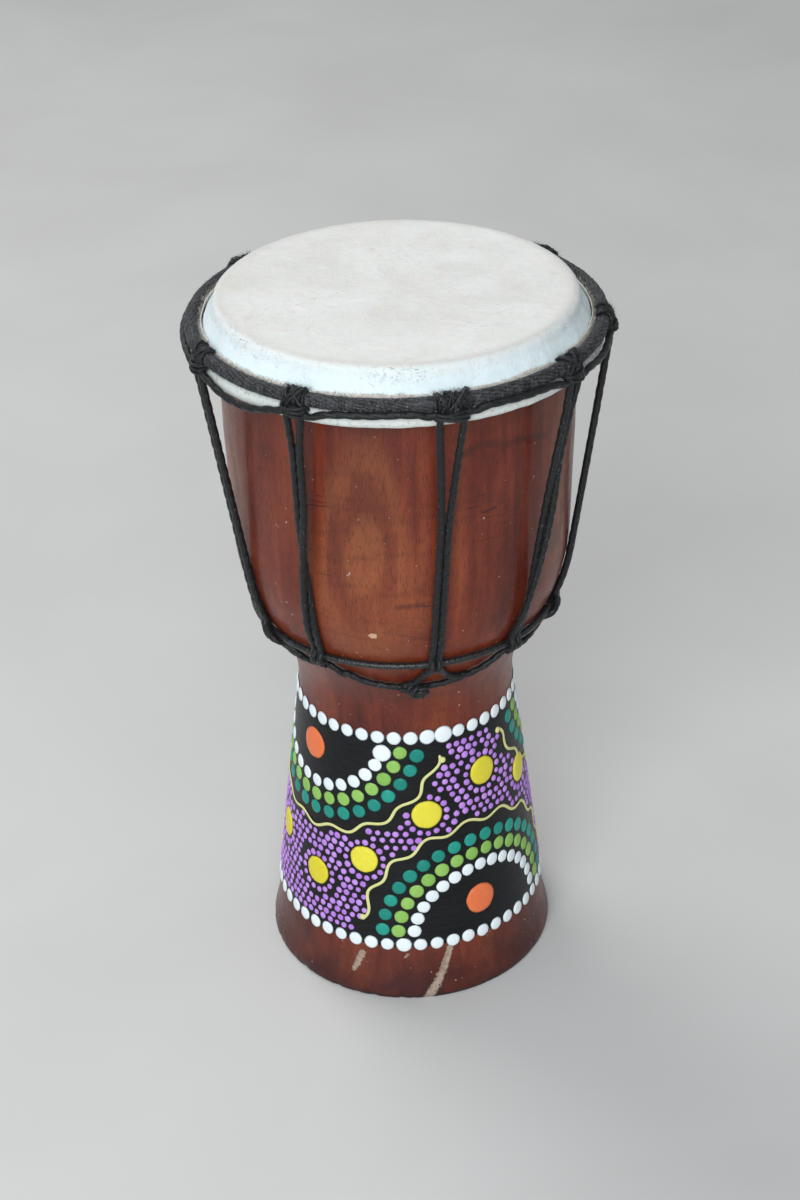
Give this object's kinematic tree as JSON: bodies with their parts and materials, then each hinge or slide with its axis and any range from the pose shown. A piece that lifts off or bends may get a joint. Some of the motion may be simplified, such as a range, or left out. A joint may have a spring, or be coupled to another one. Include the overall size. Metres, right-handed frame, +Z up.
{
  "type": "djembe",
  "caption": "Small goblet hand drum: turned wooden shell with a dot-painted foot, goat hide head on a crown ring, fixed black cord lacing and waist ring.",
  "frame": {"origin": "centre of the foot at the floor, on the drum's axis", "axes": "+Z up along the drum's axis, -Y the drum's front, where the waist cord is knotted"},
  "size_m": [0.1644, 0.1644, 0.3],
  "materials": {
    "wood": "gloss varnish over red-brown tropical hardwood",
    "black_paint": "brushed satin paint",
    "white_paint": "domed satin paint dots",
    "light_green_paint": "domed satin paint dots",
    "teal_paint": "domed satin paint dots",
    "orange_paint": "domed satin paint dots",
    "yellow_paint": "domed satin paint dots",
    "violet_paint": "small domed satin paint dots",
    "cream_paint": "raised satin paint line",
    "goat_hide": "matt pale rawhide",
    "steel_wire": "bare drawn wire, hidden",
    "black_cloth": "fuzzy wound cloth strip",
    "black_cord": "waxed twisted cord"
  },
  "bodies": {
    "root": {"shell": "wood", "painted_band": "black_paint", "white_dots": "white_paint", "light_green_dots": "light_green_paint", "teal_dots": "teal_paint", "orange_dots": "orange_paint", "yellow_dots": "yellow_paint", "violet_dots": "violet_paint", "cream_lines": "cream_paint", "drumhead": "goat_hide", "flesh_hoop": "steel_wire", "crown_ring": "steel_wire", "crown_wrap": "black_cloth", "crown_knot_1": "black_cord", "crown_knot_2": "black_cord", "crown_knot_3": "black_cord", "crown_knot_4": "black_cord", "crown_knot_5": "black_cord", "crown_knot_6": "black_cord", "crown_knot_7": "black_cord", "crown_knot_8": "black_cord", "crown_knot_9": "black_cord", "crown_loop_1": "black_cord", "crown_loop_2": "black_cord", "crown_loop_3": "black_cord", "crown_loop_4": "black_cord", "crown_loop_5": "black_cord", "crown_loop_6": "black_cord", "crown_loop_7": "black_cord", "crown_loop_8": "black_cord", "crown_loop_9": "black_cord", "lace_1": "black_cord", "lace_2": "black_cord", "lace_3": "black_cord", "lace_4": "black_cord", "lace_5": "black_cord", "lace_6": "black_cord", "lace_7": "black_cord", "lace_8": "black_cord", "lace_9": "black_cord", "waist_ring": "steel_wire", "waist_wrap": "black_cloth", "waist_tie": "black_cord", "waist_knot": "black_cord"}
  },
  "joints": []
}
